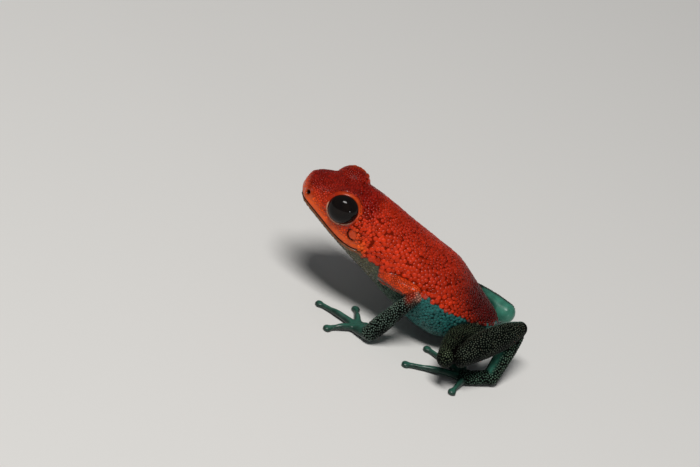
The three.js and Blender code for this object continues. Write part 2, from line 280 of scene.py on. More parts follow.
def limbParts(limb):
    # Each part is its name, its stations and the direction it is widest across. A station is a
    # place on the centre line with the half width and the half depth there.
    shoulder, elbow, root, wrist, palm = (
        limb[name] for name in ("shoulder", "elbow", "forearmRoot", "wrist", "palm")
    )
    hip, knee, shin, heel, ankle, instep = (
        limb[name] for name in ("hip", "knee", "shin", "heel", "ankle", "instep")
    )
    bow = (0.15 * limb["side"], 0, 0)
    upperArm = [(shoulder, 0.75, 0.8), (between(shoulder, elbow, 0.5, bow), 0.7, 0.72), (elbow, 0.62, 0.64)]
    forearm = [
        (root, 0.58, 0.6),
        (between(root, wrist, 0.35, (0, 0, 0.08)), 0.68, 0.7),
        (between(root, wrist, 0.75, (0, 0, 0.04)), 0.8, 0.82),
        (wrist, 0.73, 0.75),
    ]
    thigh = [(hip, 1.35, 1.25), (between(hip, knee, 0.5), 1.42, 1.38), (knee, 0.84, 0.86)]
    shank = [
        (shin, 0.94, 0.98),
        (between(shin, heel, 0.38, (0, 0, 0.1)), 1.18, 1.28),
        (between(shin, heel, 0.75, (0, 0, 0.08)), 1.1, 1.18),
        (heel, limb["heelWidth"], limb["heelWidth"] + 0.05),
    ]
    tarsus = [(heel, 0.68, 0.72), (between(heel, ankle, 0.45), 0.78, 0.82), (ankle, 0.74, 0.74)]
    parts = [
        ("upperArm", upperArm, (1, 0, 0)),
        ("forearm", forearm, (1, 0, 0)),
        ("palm", [((*wrist[:2], 0.75), 0.66, 0.6), (palm, 0.88, 0.48)], levelAcross(wrist, palm)),
        ("thigh", thigh, (0, 1, 0)),
        ("shank", shank, (0, 1, 0)),
        ("tarsus", tarsus, (1, 0, 0)),
        ("instep", [(ankle, 0.7, 0.62), (instep, 0.85, 0.45)], levelAcross(ankle, instep)),
    ]
    for tips, base, share in ((limb["fingers"], palm, 0.12), (limb["toes"], instep, 0.1)):
        for tip in tips:
            stations = digitStations(between(base, (*tip, 0.3), share), tip)
            parts.append(("digit", stations, levelAcross(stations[-1][0], stations[0][0])))
    return parts


def digitDisc(end, inset):
    flat = digits["discHeight"] / 2 / digits["discRadius"]
    centre = (end[0], end[1], digits["discHeight"] / 2 - digits["floorSink"])
    return ballShape(digits["discRadius"] - inset, centre, (1, 1, flat), 20, 12)


def lidCentre(side):
    x, y, z = eyes["centre"]
    return (side * (x - eyes["lidInset"]), y, z + eyes["lidLift"])


# Every round form of the frog, each a closed shape, to be made one skin.
shapes = [bodyTube(skinShape["inset"])]
digitInset = skinShape["inset"] * 0.4
axes = []  # of each limb part its name, its side and the table of its centre line
for limb in limbs.values():
    shapes.append(ballShape(eyes["lidRadius"], lidCentre(limb["side"])))
    for name, stations, across in limbParts(limb):
        if name == "digit":
            shapes.append(limbTube(stations, across, digitInset, 16, 20, 4))
            shapes.append(digitDisc(stations[-1][0], digitInset * 0.4))
        else:
            shapes.append(limbTube(stations, across, skinShape["inset"]))
        axes.append({"name": name, "side": limb["side"], "table": limbTable(stations)})


def newPiece(name, data):
    piece = bpy.data.objects.new(name, data)
    bpy.context.scene.collection.objects.link(piece)
    return piece


def newObject(name, points, faces):
    mesh = bpy.data.meshes.new(name)
    mesh.from_pydata([tuple(p) for p in np.asarray(points).tolist()], [], faces)
    mesh.update()
    return newPiece(name, mesh)


def joinShapes(name, shapes):
    faces, count = [], 0
    for shapePoints, shapeFaces in shapes:
        faces += [tuple(count + k for k in face) for face in shapeFaces]
        count += len(shapePoints)
    return newObject(name, np.concatenate([shape[0] for shape in shapes]), faces)


def turnOutwards(mesh):
    bm = bmesh.new()
    bm.from_mesh(mesh)
    bmesh.ops.recalc_face_normals(bm, faces=bm.faces)
    bm.to_mesh(mesh)
    bm.free()


def shadeSmooth(mesh):
    for polygon in mesh.polygons:
        polygon.use_smooth = True


def evaluated(piece):
    bpy.context.view_layer.update()
    graph = bpy.context.evaluated_depsgraph_get()
    return bpy.data.meshes.new_from_object(piece.evaluated_get(graph))


def removeObject(piece):
    mesh = piece.data
    bpy.data.objects.remove(piece)
    bpy.data.meshes.remove(mesh)


roundForms = joinShapes("round forms", shapes)
turnOutwards(roundForms.data)
remesh = roundForms.modifiers.new("remesh", "REMESH")
remesh.mode = "VOXEL"
remesh.voxel_size = skinShape["voxel"]
skinMesh = evaluated(roundForms)
removeObject(roundForms)
print("one skin:", len(skinMesh.vertices), "points")


def readArray(rows, key, width=1, numberType=np.float32):
    values = np.empty(len(rows) * width, numberType)
    rows.foreach_get(key, values)
    return values.reshape(-1, width) if width > 1 else values


def readIndices(rows, key, width=1):
    return readArray(rows, key, width, np.int32)


def pointsOf(mesh):
    return readArray(mesh.vertices, "co", 3).astype(float)


def setPoints(mesh, points):
    mesh.vertices.foreach_set("co", np.asarray(points, np.float32).ravel())
    mesh.update()


def normalsOf(mesh):
    return readArray(mesh.vertex_normals, "vector", 3).astype(float)


def tiesOf(mesh):
    # the two ends of every edge, and how many edges meet at each point
    pairs = readIndices(mesh.edges, "vertices", 2)
    degree = np.bincount(pairs.ravel(), minlength=len(mesh.vertices))
    return pairs[:, 0], pairs[:, 1], np.maximum(degree, 1)


def neighbourMean(values, ties):
    a, b, degree = ties
    flat = values.reshape(len(values), -1)
    total = [np.bincount(a, c[b], len(flat)) + np.bincount(b, c[a], len(flat)) for c in flat.T]
    return (np.stack(total, -1) / degree[:, None]).reshape(values.shape)


def blurred(values, rounds, ties):
    for _ in range(rounds):
        values = 0.4 * values + 0.6 * neighbourMean(values, ties)
    return values


def bump(distance, width):
    return np.exp(-((distance / width) ** 2))


def step(value, low, high):
    t = np.clip((value - low) / (high - low), 0, 1)
    return t * t * (3 - 2 * t)


def distanceTo(spot, places):
    return np.linalg.norm(places - np.array(spot), axis=1)


points = pointsOf(skinMesh)
ties = tiesOf(skinMesh)
for _ in range(skinShape["evening"]):
    points += skinShape["eveningPull"] * (neighbourMean(points, ties) - points)
    points -= skinShape["eveningPush"] * (neighbourMean(points, ties) - points)

# Rounded inner corners where the limbs grow from the body and fold.
cornerWeight = np.zeros(len(points))
for limb in limbs.values():
    for name, reach in skinShape["filletReach"].items():
        cornerWeight += bump(distanceTo(limb[name], points), reach)
    for name, reach in skinShape["halfFilletReach"].items():
        cornerWeight += 0.5 * bump(distanceTo(limb[name], points), reach)
    lidWall = distanceTo(lidCentre(limb["side"]), points) - eyes["lidRadius"]
    belowTop = points[:, 2] < eyes["centre"][2] + skinShape["lidFilletTop"]
    cornerWeight += 0.8 * bump(lidWall, skinShape["lidFilletReach"]) * belowTop
cornerWeight = np.clip(cornerWeight, 0, 1)[:, None]
for _ in range(skinShape["filleting"]):
    points += skinShape["filletPull"] * cornerWeight * (neighbourMean(points, ties) - points)
shoulderWeight = np.zeros((len(points), 1))
for limb in limbs.values():
    armpit = np.array(limb["shoulder"]) + np.array(skinShape["armpit"]) * (limb["side"], 1, 1)
    shoulderWeight[:, 0] += bump(distanceTo(armpit, points), skinShape["armpitReach"])
for _ in range(skinShape["shoulderFilleting"]):
    points += skinShape["shoulderPull"] * shoulderWeight * (neighbourMean(points, ties) - points)
setPoints(skinMesh, points)
print("skin evened")

head = {
    "mouth": {"corner": -2.75, "depth": 0.13, "width": 0.075, "lipSwell": 0.05, "lowerLipShare": 0.7},
    "upperLip": (0.24, 0.14),  # height over the mouth line, and how far it reaches
    "lowerLip": (-0.2, 0.12),
    "nostril": {"at": (1.55, -8.72, 10.3), "radius": 0.18, "depth": 0.26, "rimHeight": 0.06},
    "nostrilRim": (0.3, 0.12),
    "eardrum": {"at": (3.08, -3.95, 8.7), "radius": 0.55, "rimWidth": 0.075, "depth": 0.12, "swell": 0.05},
    "ridge": [(1.32, -8.27, 10.97), (1.43, -7.58, 11.12), (1.64, -6.92, 11.1)],
    "ridgeSize": {"height": 0.055, "width": 0.22},
    "cheekHollow": {"at": (1.95, -7.52, 10.6), "depth": 0.06, "width": 0.5},
    "neckFold": {"fromDrum": 0.95, "depth": 0.04, "width": 0.1},
    "lid": {"rimAt": 0.1, "rimHeight": 0.03, "rimWidth": 0.09, "browHeight": 0.04},
    "leftLid": {"drawnBack": 0.17, "rimFurther": 0.24},  # its upper edge is drawn off the eye
}
mouthLine = {
    "y": (-9.4, -8.6, -7.3, -5.95, -4.9, -3.9, -3.2, -2.6),
    "z": (9.72, 9.5, 8.9, 8.15, 7.65, 7.4, 7.36, 7.2),
}
# How near to the mouth, the lid's edge, the nostrils and the eardrums the faces are made finer.
fineReach = {"mouth": 0.38, "lid": 0.28, "nostril": 0.5, "eardrum": 0.95}
fineEdges = {"mouthEnd": -2.3, "lidRadius": 1.45}


def refine(mesh, isFine):
    bm = bmesh.new()
    bm.from_mesh(mesh)
    chosen = {edge for face in bm.faces if isFine(face.calc_center_median()) for edge in face.edges}
    bmesh.ops.subdivide_edges(bm, edges=list(chosen), cuts=1, use_grid_fill=True)
    bmesh.ops.triangulate(bm, faces=[face for face in bm.faces if len(face.verts) > 4])
    bm.to_mesh(mesh)
    bm.free()
    mesh.update()


def needsFineFaces(place):
    mirrored = Vector((abs(place.x), place.y, place.z))
    mouthHeight = place.z - float(along(mouthLine, "y", "z", place.y))
    nearMouth = place.y < fineEdges["mouthEnd"] and abs(mouthHeight) < fineReach["mouth"]
    eye = mirrored - Vector(eyes["centre"])
    eye.x /= eyes["flat"]
    nearLid = abs(eye.length - fineEdges["lidRadius"]) < fineReach["lid"]
    gaps = {name: (mirrored - Vector(head[name]["at"])).length for name in ("nostril", "eardrum")}
    return nearMouth or nearLid or any(gap < fineReach[name] for name, gap in gaps.items())


refine(skinMesh, needsFineFaces)
points = pointsOf(skinMesh)
ties = tiesOf(skinMesh)
normals = normalsOf(skinMesh)
print("head refined:", len(points), "points")

# Which part of the frog each place belongs to, how far along it lies, and its place on a
# flat layout of the skin, one strip for each part.
layout = {"span": 50.0, "bodyWidth": 22.0, "margin": 0.4}
snoutLayout = {"start": 1.5, "radius": 1.2, "depth": 0.5}
steep = 0.8  # a limb this upright takes its turn from the way back, not from straight up


def bodyMeasure(places):
    y = places[:, 1]
    s = bodySection(y)
    upper = places[:, 2] >= s["side"]
    power = np.where(upper, s["up"], s["down"])
    height = np.where(upper, s["back"] - s["side"], s["side"] - s["belly"])
    across = np.abs(places[:, 0]) / s["half"]
    tall = np.abs(places[:, 2] - s["side"]) / height
    beyond = np.maximum(snoutEnd - y, y - ventEnd)
    measure = (across**power + tall**power) ** (1 / power)
    return (measure - 1) * np.minimum(s["half"], height) + np.maximum(beyond, 0)


def axisMeasure(places, table):
    best = np.full(len(places), farAway)
    run = np.zeros(len(places))
    centre = np.zeros((len(places), 3))
    spots = np.stack([table[c] for c in "xyz"], -1)
    for k in range(len(spots) - 1):
        way = spots[k + 1] - spots[k]
        t = np.clip((places - spots[k]) @ way / (way @ way), 0, 1)
        spot = spots[k] + t[:, None] * way
        radius = table["wide"][k] + (table["wide"][k + 1] - table["wide"][k]) * t
        measure = np.linalg.norm(places - spot, axis=1) - radius
        better = measure < best
        best[better] = measure[better]
        run[better] = (table["s"][k] + (table["s"][k + 1] - table["s"][k]) * t)[better]
        centre[better] = spot[better]
    return best, run, centre


def stripPlan():
    plan = []
    left, margin = layout["bodyWidth"] + layout["margin"], layout["margin"]
    u, v, rowHeight = left, margin, 0.0
    for axis in axes:
        radius = max(axis["table"]["wide"])
        width = axis["table"]["s"][-1] + 2 * radius + margin
        if u + width > layout["span"]:
            u, v, rowHeight = left, v + rowHeight, 0.0
        plan.append((u + radius, v, radius))
        u += width
        rowHeight = max(rowHeight, 2 * math.pi * radius + margin)
    print("layout of the skin reaches", round(v + rowHeight, 1), "of", layout["span"])
    return plan


strips = stripPlan()


def readPlaces(places):
    # the nearest part and the next one, the way along them, and the layout coordinates
    count = len(places)
    bodyPart = np.full(count, len(axes))
    read = {"part": bodyPart, "distance": bodyMeasure(places), "run": places[:, 1] - snoutEnd}
    follow = {"part": bodyPart, "distance": np.full(count, farAway), "run": read["run"]}
    section = bodySection(places[:, 1])
    outward = places[:, [0, 2]] - np.stack([np.zeros(count), (section["back"] + section["belly"]) / 2], -1)
    turn = np.arctan2(*outward.T) / (2 * math.pi)
    capped = np.minimum(np.hypot(*outward.T) - snoutLayout["radius"], 0)
    capped *= bump(read["run"], snoutLayout["depth"])
    u = layout["margin"] + snoutLayout["start"] + read["run"] + capped
    v = np.full(count, layout["span"] / 2)
    width = np.full(count, layout["span"] - 3 * layout["margin"])
    for k, axis in enumerate(axes):
        distance, run, centre = axisMeasure(places, axis["table"])
        way = np.array([axis["table"][c][-1] - axis["table"][c][0] for c in "xyz"])
        way /= np.linalg.norm(way)
        side = np.cross(way, (0.0, 0, 1) if abs(way[2]) < steep else (0.0, 1, 0))
        side /= np.linalg.norm(side)
        offset = places - centre
        closer = distance < read["distance"]
        second = ~closer & (distance < follow["distance"])
        for name, value in (("part", np.full(count, k)), ("distance", distance), ("run", run)):
            follow[name] = np.where(closer, read[name], np.where(second, value, follow[name]))
            read[name] = np.where(closer, value, read[name])
        turn[closer] = (np.arctan2(offset @ side, offset @ np.cross(side, way)) / (2 * math.pi))[closer]
        u[closer] = (strips[k][0] + run + offset @ way)[closer]
        v[closer] = strips[k][1] + math.pi * strips[k][2]
        width[closer] = 2 * math.pi * strips[k][2]
    read |= {"nextPart": follow["part"], "nextDistance": follow["distance"], "nextRun": follow["run"]}
    return read | {"turn": turn, "u": u, "v": v, "width": width}


def flatPlace(read, turn=None):
    turn = read["turn"] if turn is None else turn
    return np.stack([read["u"], read["v"] + turn * read["width"]], -1) / layout["span"]


names = np.array([axis["name"] for axis in axes] + ["body"])
runningOn = (("palm", "digit"), ("instep", "digit"), ("tarsus", "instep"), ("forearm", "palm"))


def bothIn(read, pair):
    return np.isin(names[read["part"]], pair) & np.isin(names[read["nextPart"]], pair)


def isLegFold(read):
    return bothIn(read, ("thigh", "shank"))


def creaseShare(read):
    # where two parts lie against each other, but not where one simply runs on into the next
    kind, nextKind = names[read["part"]], names[read["nextPart"]]
    runsOn = kind == nextKind
    for pair in runningOn:
        runsOn |= bothIn(read, pair)
    limbRun = np.where(kind == "body", read["nextRun"], read["run"])
    width = np.where(isLegFold(read), skinShape["legFoldWidth"], skinShape["creaseWidth"])
    closeness = bump(read["nextDistance"] - read["distance"], width)
    atArm = (kind == "upperArm") | (nextKind == "upperArm")
    closeness *= np.where(atArm, step(limbRun, *skinShape["armCreaseStarts"]), 1.0)
    atHip = bothIn(read, ("body", "thigh"))
    closeness *= np.where(atHip, step(limbRun, *skinShape["thighCreaseStarts"]), 1.0)
    return closeness * np.where(runsOn, 0.0, 1.0) * (read["nextDistance"] < skinShape["creaseReach"])


def fromMouth(places):
    return places[:, 2] - along(mouthLine, "y", "z", places[:, 1])


def fromLine(places, line):
    best = np.full(len(places), farAway)
    for start, end in zip(line[:-1], line[1:]):
        way = np.array(end) - np.array(start)
        t = np.clip((places - np.array(start)) @ way / (way @ way), 0, 1)
        best = np.minimum(best, np.linalg.norm(places - np.array(start) - t[:, None] * way, axis=1))
    return best


def toLeft(places):
    return places * np.where(places[:, :1] < 0, (-1, 1, 1), (1, 1, 1))


def fromEye(mirrored):
    # the way from the middle of the eye, and the distance from its surface
    offset = mirrored - np.array(eyes["centre"])
    return offset, np.linalg.norm(offset / (eyes["flat"], 1, 1), axis=1) - eyes["radius"]


def band(value, middle, width):
    return bump(value - middle, width)


def leanShare(offset, y, z, low, high):
    # from 0 to 1 as the offset reaches out the given way in the side view
    return step(z * offset[:, 2] + y * offset[:, 1], low, high)


read = readPlaces(points)
foldDepth = np.where(isLegFold(read), skinShape["legFoldDepth"], skinShape["creaseDepth"])
points -= normals * (foldDepth * creaseShare(read))[:, None]
y, z = points[:, 1], points[:, 2]
mirrored = toLeft(points)

mouth, nostril, eardrum, hollow, fold, lid = (
    head[name] for name in ("mouth", "nostril", "eardrum", "cheekHollow", "neckFold", "lid")
)
overMouth = fromMouth(points)
mouthOpen = step(-y, -mouth["corner"] - 0.1, -mouth["corner"] + 0.7) * (z < 11)
groove = -mouth["depth"] * bump(overMouth, mouth["width"])
upperLip = mouth["lipSwell"] * band(overMouth, *head["upperLip"])
lowerLip = mouth["lowerLipShare"] * mouth["lipSwell"] * band(overMouth, *head["lowerLip"])
moved = (groove + upperLip + lowerLip) * mouthOpen

fromNostril = distanceTo(nostril["at"], mirrored)
moved -= nostril["depth"] * bump(fromNostril, nostril["radius"])
moved += nostril["rimHeight"] * band(fromNostril, *head["nostrilRim"])
moved += head["ridgeSize"]["height"] * bump(fromLine(mirrored, head["ridge"]), head["ridgeSize"]["width"])
moved -= hollow["depth"] * bump(distanceTo(hollow["at"], mirrored), hollow["width"])

drumWay = (-0.85, -0.52)  # its rim shows in front and below
drumOffset = mirrored - np.array(eardrum["at"])
fromDrum = np.linalg.norm(drumOffset * (0.3, 1, 1), axis=1)
overRim = fromDrum - eardrum["radius"]
drumFront = leanShare(drumOffset, *drumWay, 0.0, 0.35)
drumRim = bump(overRim, eardrum["rimWidth"]) * drumFront
moved -= eardrum["depth"] * drumRim
moved += eardrum["swell"] * band(overRim, -0.2, 0.14) * drumFront

eyeOffset, lidEdge = fromEye(mirrored)
brow = leanShare(eyeOffset, 0.65, 0.75, 0.1, 1.1)
lifted = leanShare(eyeOffset, -0.25, 0.9, -0.1, 1.1) * (points[:, 0] > 0)
onLid = lifted * (mirrored[:, 0] > 1.2) * (lidEdge < 0.5)
moved -= head["leftLid"]["drawnBack"] * (1 - step(lidEdge, 0.15, 0.33)) * onLid
rimPlace = lid["rimAt"] + head["leftLid"]["rimFurther"] * lifted
rimHeight = lid["rimHeight"] + lid["browHeight"] * brow
moved += rimHeight * band(lidEdge, rimPlace, lid["rimWidth"]) * (mirrored[:, 0] > 1.3)
behindDrum = step(drumOffset[:, 1], 0.0, 0.5) * (fromDrum < 1.4)
moved -= fold["depth"] * band(fromDrum, fold["fromDrum"], fold["width"]) * behindDrum
points += normals * moved[:, None]
points[:, 2] = np.maximum(points[:, 2], skinShape["groundHeight"])
setPoints(skinMesh, points)
read = readPlaces(points)
print("mouth, lids, nostrils and eardrums formed, and the skin laid out")

# Markings. Each share runs from 0 to 1 over the skin, and the granules take theirs at their roots.
markings = {
    "edgeWander": 0.22,  # how far the edge of the red wanders
    "red": (0.44, 0.024, 0.004),
    "orange": (0.66, 0.085, 0.010),
    "crimson": (0.15, 0.002, 0.001),
    # painted shade over the rear of the body
    "rumpShade": (0.035, 0.001, 0.001),
    "jaw": (0.20, 0.070, 0.028),
    "turquoise": (0.013, 0.078, 0.072),
    "belly": (0.012, 0.048, 0.042),
    "chest": (0.026, 0.050, 0.034),
    "throat": (0.065, 0.062, 0.036),
    "limb": (0.003, 0.006, 0.0045),
    "hand": (0.020, 0.060, 0.044),
    "limbTurquoise": (0.045, 0.19, 0.135),
    "elbow": (0.42, 0.18, 0.13),
    "cream": (0.60, 0.40, 0.26),
    # painted shade in the nostrils, the mouth line, the eardrum rims and the creases
    "hollowShade": (0.004, 0.002, 0.002),
    "grooveShade": 0.6,
    "redTipLight": 1.32,  # how much lighter the tops of the granules are painted, as painted light from above
    "greenTipLight": 1.75,
    "kneeHighlight": 1.6,  # how much paler the grains are painted over the knees, a painted highlight
    "kneeHighlightReach": 1.1,
    "headStarts": (2.3, 3.1),  # ahead of the middle, where the head's colours take over
    "throatStarts": (-0.2, 1.8),
    "chestEnds": (0.8, 2.6),
    "turquoiseStarts": (1.2, 3.2),
    "turquoiseHeight": (1.2, 2.8),
    "lip": (0.3, 0.62),  # height over the mouth, and how far it reaches
    "jawLine": (-0.12, 0.16),
    "underArmRed": (5.0, 5.9),
    "elbowRedEnds": (0.3, 1.1),
    "elbowPaleEnds": (0.3, 1.2),
    "heelStarts": (0.45, 0.7),  # share of the shank, where the heel's smooth side begins
    "backDarkens": (5.0, 8.5),
    "rumpShadeStarts": (6.0, 10.0),
    "tips": {
        "forearm": (0.15, 0.23, 0.18),
        "palm": (0.13, 0.21, 0.16),
        "thigh": (0.055, 0.075, 0.040),
        "shank": (0.066, 0.082, 0.055),
        "tarsus": (0.10, 0.18, 0.12),
        "instep": (0.07, 0.14, 0.095),
    },
}
redEdge = {
    "y": (-3.0, -1.7, -0.9, 0.3, 1.5, 3.4, 4.4, 5.3, 6.4, 7.7, 9.0, 10.2),
    "z": (6.9, 6.75, 6.55, 5.7, 5.2, 5.5, 5.3, 5.0, 4.4, 3.9, 3.4, 3.0),
}


def wander(places, size, seed=0.0):
    # a soft noise from a few crossing waves
    p = places / size + seed
    return (
        np.sin(p[:, 0] * 1.7 + 1.3 * np.sin(p[:, 1] * 1.1 + seed))
        + np.sin(p[:, 1] * 1.9 + 1.1 * np.sin(p[:, 2] * 1.3))
        + np.sin(p[:, 2] * 1.6 + 1.2 * np.sin(p[:, 0] * 1.2))
    ) / 3


kind = names[read["part"]]
sides = np.array([axis["side"] for axis in axes] + [0])[read["part"]]
lengths = np.array([axis["table"]["s"][-1] for axis in axes] + [20.0])[read["part"]]
normals = normalsOf(skinMesh)
y, z = points[:, 1], points[:, 2]
facingUp = normals[:, 2]
uneven = wander(points, 0.35, 2.0) * markings["edgeWander"] + wander(points, 0.12, 5.0) * 0.12
onBody, upperArm, forearm = ((kind == name).astype(float) for name in ("body", "upperArm", "forearm"))
onHead = step(-y, *markings["headStarts"])
mouthHeight = fromMouth(points)
headRed = step(mouthHeight, -0.02, 0.06)
trunkRed = step(z - along(redEdge, "y", "z", y) + uneven, -0.12, 0.14)
bodyRed = headRed * onHead + trunkRed * (1 - onHead)
notRed = (1 - headRed * onHead) * (1 - trunkRed * (1 - onHead))
facingDown = leanShare(-normals, 0.5, 1, 0.1, 0.7)
facingFront = leanShare(normals, -1, 0.3, 0.0, 0.6)
facingBackUp = leanShare(normals, 0.4, 1, -0.1, 0.6)
elbowRun = read["run"] + uneven
# The smooth turquoise of the inner shank and of the side of the tarsus that folds against it.
inward = -normals[:, 0] * sides
folds = {limb["side"]: np.array(limb["shin"]) - np.array(limb["ankle"]) for limb in limbs.values()}
folds = {side: fold / np.linalg.norm(fold) for side, fold in folds.items()}
folded = np.einsum("ij,ij->i", normals, np.where(sides[:, None] > 0, folds[1], folds[-1]))
nearHeel = step(read["run"] / lengths, *markings["heelStarts"])
turnedOut = np.where(sides < 0, 0.6, 0.0)  # the right heel shows its smooth side from above
innerShank = nearHeel * step(inward + turnedOut, 0.2, 0.55) + (1 - nearHeel) * step(inward, 0.55, 0.9)
innerTarsus = np.maximum(step(inward, 0.6, 0.95), step(folded, 0.7, 0.97))
share = {
    "red": onBody * bodyRed + upperArm * (1 - facingDown * step(z, *markings["underArmRed"])),
    "elbowRed": forearm * (1 - step(elbowRun, *markings["elbowRedEnds"])) * facingFront,
    "elbow": forearm * (1 - step(elbowRun, *markings["elbowPaleEnds"])) * facingBackUp,
    "lip": onBody * headRed * onHead * band(mouthHeight, *markings["lip"]),
    "throat": onBody * step(-y, *markings["throatStarts"]) * notRed,
    "limb": 1 - onBody - upperArm,
    "upperArm": upperArm,
    "top": onBody * step(facingUp, 0.35, 0.85),
    "hand": np.isin(kind, ("palm", "digit")).astype(float),
    "inner": (kind == "shank") * innerShank + (kind == "tarsus") * innerTarsus,
}
share = {name: np.clip(blurred(values, 2, ties), 0, 1) for name, values in share.items()}
share["red"] = step(share["red"], 0.35, 0.65)
tips = np.zeros((len(points), 3))
for name, colour in markings["tips"].items():
    tips[kind == name] = colour
# The tops of the limb granules are their own pale tone, painted paler where they face up: painted light,
# with some random change.
tips *= (0.4 + 0.8 * step(facingUp, -0.2, 0.85) + 0.35 * wander(points, 0.5, 4.0))[:, None]
tips = np.maximum(tips, 0)
# Over the knees they are paler still: a painted highlight.
for limb in limbs.values():
    bend = np.array(limb["knee"]) + (0.3 * limb["side"], 0.3, 0.5)
    tips *= 1 + markings["kneeHighlight"] * bump(distanceTo(bend, points), markings["kneeHighlightReach"])[:, None]
tips = blurred(tips, 3, ties)
tone = np.zeros((len(points), 3)) + np.array(markings["belly"])


def lay(name, amount):
    global tone
    tone = tone + (np.array(markings[name]) - tone) * np.clip(amount, 0, 1)[:, None]


lay("turquoise", step(z, *markings["turquoiseHeight"]) * step(y, *markings["turquoiseStarts"]))
# The chest and the throat take their own dull greens, darkened also as painted shade under the head and the
# arms.
lay("chest", (1 - step(y, *markings["chestEnds"])) * (1 - share["throat"]))
lay("throat", share["throat"])
lay("chest", share["upperArm"])
lay("limb", share["limb"])
# The hands are painted paler where they face up (painted light), with random mottling.
lay("hand", share["hand"] * (0.55 + 0.45 * step(facingUp, 0.1, 0.9) + 0.3 * wander(points, 0.16, 3.0)))
# The inner shank and tarsus take their own turquoise; the tops of the hands take it too, as a painted
# highlight.
lay("limbTurquoise", np.maximum(share["inner"], 0.45 * share["hand"] * step(facingUp, 0.8, 0.98)))
lay("elbow", share["elbow"])
lay("red", np.maximum(share["red"], share["elbowRed"]))
# Deeper crimson over the top of the body and head and towards the rear: partly the skin's own darker red,
# partly painted shade.
deep = share["top"] * (0.45 + 0.35 * onHead) + 0.15 * wander(points, 1.4, 1.0)
lay("crimson", share["red"] * (deep + 0.3 * step(y, *markings["backDarkens"])))
# The rear of the body is painted a very deep red: painted shade.
lay("rumpShade", 0.9 * share["red"] * onBody * step(y + 2.0 * share["top"], *markings["rumpShadeStarts"]))
lay("orange", share["red"] * np.maximum(0.9 * share["lip"], share["upperArm"] * 0.3))
lay("orange", 0.35 * (1 - step(fromDrum, 0.35, 0.6)))
lay("jaw", onBody * onHead * (1 - headRed) * band(mouthHeight, *markings["jawLine"]))
mirrored = toLeft(points)
eyeOffset, lidEdge = fromEye(mirrored)
upperRim = band(lidEdge, 0.1, 0.12) * leanShare(eyeOffset, 0.65, 0.75, 0.0, 0.9)
lowerRim = band(lidEdge, 0.02, 0.06) * leanShare(-eyeOffset, 0.45, 1, 0.0, 0.6)
lay("orange", 0.6 * upperRim * (mirrored[:, 0] > 1.8))
lay("cream", 0.8 * lowerRim * (mirrored[:, 0] > 2.2))
crease = creaseShare(read)
# Painted shade: the nostrils, the mouth line, the rim of the eardrums and the creases between parts are
# painted near black.
hollowShade = np.maximum(1 - step(fromNostril, 0.14, 0.27), bump(mouthHeight, 0.055) * mouthOpen * 0.85)
hollowShade = np.maximum(hollowShade, np.maximum(np.sqrt(drumRim), crease * np.where(isLegFold(read), 1.0, 0.75)))
lay("hollowShade", hollowShade)
# The thigh and the shank shade each other along the fold between them.
inFold = bump(read["nextDistance"], skinShape["foldShadeWidth"]) * isLegFold(read)
lit = 1 - skinShape["foldShade"] * inFold[:, None]
tone *= lit
tips *= lit

# Where granules grow: each place of the skin belongs to one coat or to none.
coatBorders = {
    "wander": 0.25,
    "headBack": -4.5,
    "cheekBack": -3.4,
    "cheekTop": 1.0,  # over the mouth
    "flankFront": -2.3,
    "flankBack": 5.6,
    "flankInner": 2.0,
    "bellyTop": 1.6,
    "soleTop": 0.22,
}
clearRoom = {"mouth": 0.2, "nostril": 0.5, "lid": 0.13, "eardrum": (0.3, 0.5)}
liftedRoom = 0.5 * (rimPlace - lid["rimAt"])
keepClear = (
    bump(mouthHeight, clearRoom["mouth"]) * mouthOpen
    + bump(fromNostril, clearRoom["nostril"])
    + band(lidEdge, liftedRoom, clearRoom["lid"] + liftedRoom) * (mirrored[:, 0] > 1.9)
    + (1 - step(fromDrum, *clearRoom["eardrum"])) * leanShare(drumOffset, *drumWay, -0.25, 0.0)
    + drumRim
)
isClear = (keepClear < 0.3) & (crease < np.where(isLegFold(read), 0.45, 0.65))
edge = coatBorders["wander"] * wander(points, 0.4, 7.0)
onTrunk = (share["limb"] + share["upperArm"] < 0.4) & isClear
isRed = share["red"] > 0.5
lengthwise = y + edge
isCheek = (lengthwise < coatBorders["cheekBack"]) & (mouthHeight < coatBorders["cheekTop"] + edge)
isHead = (lengthwise < coatBorders["headBack"]) | isCheek
isLow = (z + edge < coatBorders["bellyTop"]) | ((share["throat"] > 0.4) & ~isRed)
isFlank = (lengthwise > coatBorders["flankFront"]) & (lengthwise < coatBorders["flankBack"])
isFlank &= isRed & (mirrored[:, 0] + edge > coatBorders["flankInner"])
isLip = share["lip"] >= 0.75
bareLimb = (share["inner"] > np.where(kind == "shank", 0.4, 0.8)) | (share["hand"] > 0.4)
grain = {
    "grainFlank": onTrunk & isFlank & ~isHead,
    "grainBack": onTrunk & ~isFlank & ~isHead & ~isLow,
    "grainHead": isClear & isRed & ((onTrunk & isHead & ~isLip) | (share["upperArm"] > 0.6)),
    "grainLimb": (share["limb"] > 0.5) & ~bareLimb & (z > coatBorders["soleTop"]) & isClear,
    "grainBelly": onTrunk & isLow & ~isRed,
}
grain = {name: values.astype(float) for name, values in grain.items()}
granular = grain["grainBack"] + grain["grainFlank"] + grain["grainLimb"] + 0.45 * grain["grainHead"]
granular = blurred(granular, 2, ties)
paleShare = (share["limb"] * (1 - share["elbow"]))[:, None]
# Granule tops are painted lighter than their feet: painted light from above.
tipLight = markings["greenTipLight"] + (markings["redTipLight"] - markings["greenTipLight"]) * share["red"]
print("markings laid")


def setFloat(mesh, name, values):
    attribute = mesh.attributes.new(name, "FLOAT", "POINT")
    attribute.data.foreach_set("value", np.asarray(values, np.float32))


